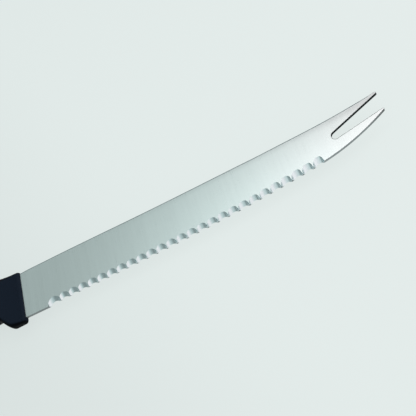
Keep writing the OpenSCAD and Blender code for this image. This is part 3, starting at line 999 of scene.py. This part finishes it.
def pale_floor(g):
    """Pale matt floor. What the camera, gloss and glass see of it is partly its own colour without shade,
    so that the knife's shadow stays but is faint."""
    material, f = new_finish("pale_floor")
    # Painted light: the floor brightens along X plus half of Y.
    painted_floor_light = f.rise(f.axis("X") + 0.5 * f.axis("Y"), *FLOOR_LIGHT_ACROSS)
    tone = f.tinted(g.floor_colour, 0.915 + 0.03 * f.noise(1.2, detail=1.0) + 0.07 * painted_floor_light)
    camera, gloss, glass = (f.node("LightPath", out=f"Is {kind} Ray")
                            for kind in ("Camera", "Glossy", "Transmission"))
    seen = (camera + gloss + glass).clamped() * g.floor_glow
    matt = f.node("BsdfDiffuse", {}, tone)
    plain = f.node("Emission", {}, tone, 1.0)
    f.node("OutputMaterial", {}, f.node("MixShader", {}, seen, matt, plain))
    return material


# Tint of the light where it is dim and where it is bright
DIM_TINT = (0.85, 1.0, 0.985)
BRIGHT_TINT = (1.075, 1.0, 1.01)

# The roof's light on its far and its near side: the least, and what is added along X
FAR_LIGHT, NEAR_LIGHT = (0.53, 1.92), (0.35, 0.80)

# Places in the row frame between which it grows along X on both sides, falls off at the far edge, and
# passes from the near side to the far one
FAR_ALONG, NEAR_ALONG = (-0.145, 0.175), (-0.30, 0.25)
FAR_EDGE, NEAR_TO_FAR = (0.185, 0.105), (-0.12, 0.08)


def lit_roof(g):
    """Roof of the light tent. It rises from dim to bright along X, falls off again on the far side, and
    is softer on both counts on the near side. Its light is cool where it is dim."""
    material, f = new_finish("lit_roof")
    x, y = f.axis("X"), f.axis("Y")
    along = f.rise(x, *FAR_ALONG)
    far = FAR_LIGHT[0] + FAR_LIGHT[1] * along * f.rise(y, *FAR_EDGE)
    near = NEAR_LIGHT[0] + NEAR_LIGHT[1] * f.rise(x, *NEAR_ALONG)
    level = near + (far - near) * f.rise(y, *NEAR_TO_FAR)
    light = f.tinted(f.blend(along**3, DIM_TINT, BRIGHT_TINT), level)
    f.node("OutputMaterial", {}, f.node("Emission", {}, light, g.roof_light))
    return material


# The sky's least light and what is added towards the tip, and where it changes: along X, and above the
# horizon, as shares of the way to the pole
SKY_LIGHT = (0.36, 0.76)
SKY_ALONG, SKY_UP = (-0.60, 0.30), (0.0, 0.08)


def studio_sky(g):
    """Soft light from all round: dim and cool on the handle's side, plain beyond the tip, and the floor's
    colour near the horizon."""
    world = bpy.data.worlds.new("studio_sky")
    f = Finish(world)
    share = f.rise(f.axis("X", "Generated"), *SKY_ALONG)
    light = f.tinted(f.blend(share, DIM_TINT, BRIGHT_TINT), SKY_LIGHT[0] + SKY_LIGHT[1] * share)
    tone = f.blend(f.rise(f.axis("Z", "Generated"), *SKY_UP), g.floor_colour, light)
    f.node("OutputWorld", {}, f.node("Background", {}, tone, g.sky_light))
    return world


# Operators


def origin(k):
    """The knife's own origin in the row frame, from the CAD blade's box and the blade's sizes."""
    return np.array([BLADE_HIGH.x - k.length, BLADE_LOW.y + k.heel_depth, (BLADE_LOW.z + BLADE_HIGH.z) / 2])


def level_sheet(name, side, height, material):
    """A level square of the stage around the origin."""
    corners = [(x * side / 2, y * side / 2, height) for x, y in ((-1, -1), (1, -1), (1, 1), (-1, 1))]
    mesh = bpy.data.meshes.new(name)
    mesh.from_pydata(corners, [], [(0, 1, 2, 3)])
    mesh.materials.append(material)
    sheet = bpy.data.objects.new(name, mesh)
    bpy.context.scene.collection.objects.link(sheet)
    return sheet


class KNIFE_OT_blade(Operator):
    """Build the scalloped blade with its fork and its hidden tang."""

    bl_idname = "knife.blade"
    bl_label = "Blade"

    def execute(self, context):
        k, _, _ = settings()
        piece = make_blade(k).build("steel_blade", origin(k))
        finish_piece(piece, "blade", [
            brushed_steel(k), ground_steel(k),
            # The stamped edge: its tone partly painted shade, its ramp along X painted light and shade.
            stamped_steel("stamped_edge_painted_shade", k.stamped, 0.38, OUTER_EDGE_LIGHT_AND_SHADE),
            # Painted shade: the near-black slot wall.
            stamped_steel("slot_wall_painted_shade", k.slot, 0.55, EVEN_EDGE_LEVEL),
            # Painted shade: the dark spine edge.
            stamped_steel("spine_edge_painted_shade", k.spine, 0.32, EVEN_EDGE_LEVEL),
        ])
        return {"FINISHED"}


class KNIFE_OT_handle(Operator):
    """Build the moulded handle with its guard, pad recesses and hanging hole."""

    bl_idname = "knife.handle"
    bl_label = "Handle"

    def execute(self, context):
        k, h, _ = settings()
        piece = make_handle(h, k).build("moulded_handle", origin(k))
        finish_piece(piece, "handle_body", [navy_plastic(h)])
        return {"FINISHED"}


class KNIFE_OT_pads(Operator):
    """Build the two soft grip pads."""

    bl_idname = "knife.pads"
    bl_label = "Grip pads"

    def execute(self, context):
        k, h, _ = settings()
        rubber = soft_grip(h)
        for side, name, node in ((1, "upper_pad", "grip_pad_upper"), (-1, "lower_pad", "grip_pad_lower")):
            piece = make_pad(h, k.sheet, side).build(name, origin(k))
            finish_piece(piece, node, [rubber])
        return {"FINISHED"}


class KNIFE_OT_stage(Operator):
    """Lay the floor, hang the lit roof and set the world's light and the camera."""

    bl_idname = "knife.stage"
    bl_label = "Stage"

    def execute(self, context):
        _, _, g = settings()
        scene = context.scene
        level_sheet("floor", g.floor_size, 0.0, pale_floor(g))
        roof = level_sheet("roof", g.roof_size, g.roof_height, lit_roof(g))
        roof.visible_camera = False
        scene.world = studio_sky(g)
        scene.view_settings.view_transform = "Standard"

        camera = bpy.data.objects.new("camera", bpy.data.cameras.new("camera"))
        scene.collection.objects.link(camera)
        back = (Vector(g.camera_place) - Vector(g.camera_aim)).normalized()
        right = Vector((0, 0, 1)).cross(back).normalized()
        level = Matrix((right, back.cross(right), back)).transposed()
        camera.matrix_world = Matrix.Translation(g.camera_place) @ (
            level @ Matrix.Rotation(g.camera_roll, 3, "Z")).to_4x4()
        camera.data.lens = g.lens
        camera.data.clip_start = 5 * MM
        scene.camera = camera
        return {"FINISHED"}


class KNIFE_PT_sidebar(Panel):
    """Lists the knife's operators and settings."""

    bl_label = "Tomato Knife"
    bl_idname = "KNIFE_PT_sidebar"
    bl_space_type = "VIEW_3D"
    bl_region_type = "UI"
    bl_category = "Tomato Knife"

    def draw(self, context):
        for group, operators in ((context.scene.knife_blade, ("knife.blade",)),
                                 (context.scene.knife_handle, ("knife.handle", "knife.pads")),
                                 (context.scene.knife_stage, ("knife.stage",))):
            box = self.layout.box()
            for operator in operators:
                box.operator(operator)
            for name in group.__annotations__:
                box.prop(group, name)


CLASSES = (BladeSettings, HandleSettings, StageSettings, KNIFE_OT_blade, KNIFE_OT_handle, KNIFE_OT_pads,
           KNIFE_OT_stage, KNIFE_PT_sidebar)


def register():
    for cls in CLASSES:
        bpy.utils.register_class(cls)
    bpy.types.Scene.knife_blade = PointerProperty(type=BladeSettings)
    bpy.types.Scene.knife_handle = PointerProperty(type=HandleSettings)
    bpy.types.Scene.knife_stage = PointerProperty(type=StageSettings)


def unregister():
    del bpy.types.Scene.knife_blade, bpy.types.Scene.knife_handle, bpy.types.Scene.knife_stage
    for cls in reversed(CLASSES):
        bpy.utils.unregister_class(cls)


def main():
    """Builds every piece and the stage."""
    register()
    bpy.ops.knife.stage()
    bpy.ops.knife.blade()
    bpy.ops.knife.handle()
    bpy.ops.knife.pads()
    bpy.context.view_layer.update()


if __name__ == "__main__":
    main()
